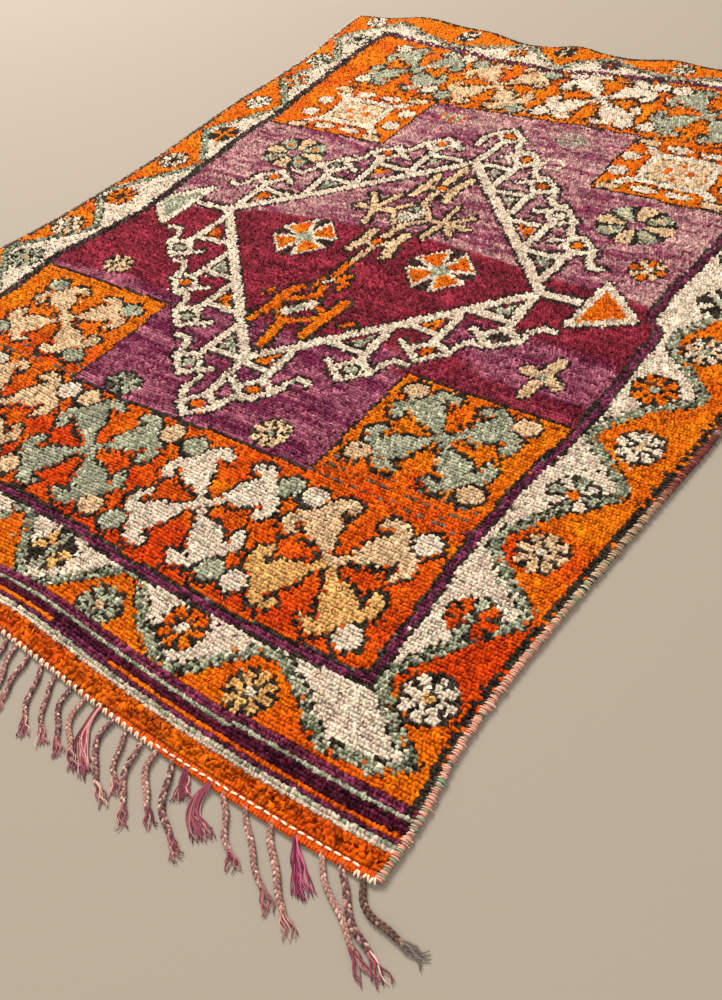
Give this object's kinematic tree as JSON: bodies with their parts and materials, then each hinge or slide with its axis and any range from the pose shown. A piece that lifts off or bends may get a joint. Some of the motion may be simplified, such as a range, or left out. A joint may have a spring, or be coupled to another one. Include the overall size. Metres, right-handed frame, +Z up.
{
  "type": "wool rug",
  "caption": "Hand-knotted wool pile rug lying flat, tribal pattern, overcast side edges and a plaited fringe at one end.",
  "frame": {"origin": "centre of the whole rug's box, fringe included, at floor height", "axes": "+Z up from the floor; +Y along the rug, away from its fringed end; X across it"},
  "size_m": [1.6996, 2.2758, 0.0215],
  "materials": {
    "pile_wool": "cut wool pile, knotted in orange, ivory, sage, plum, burgundy and charcoal",
    "edge_wool": "overcast wool yarn, salmon with green, maroon and grey",
    "tassel_wool": "plaited wool yarn, grey purple, pink and cream, loose at the tips"
  },
  "bodies": {
    "root": {"rug": "pile_wool", "selvedge_left": "edge_wool", "selvedge_right": "edge_wool", "fringe_near": "tassel_wool"}
  },
  "joints": []
}
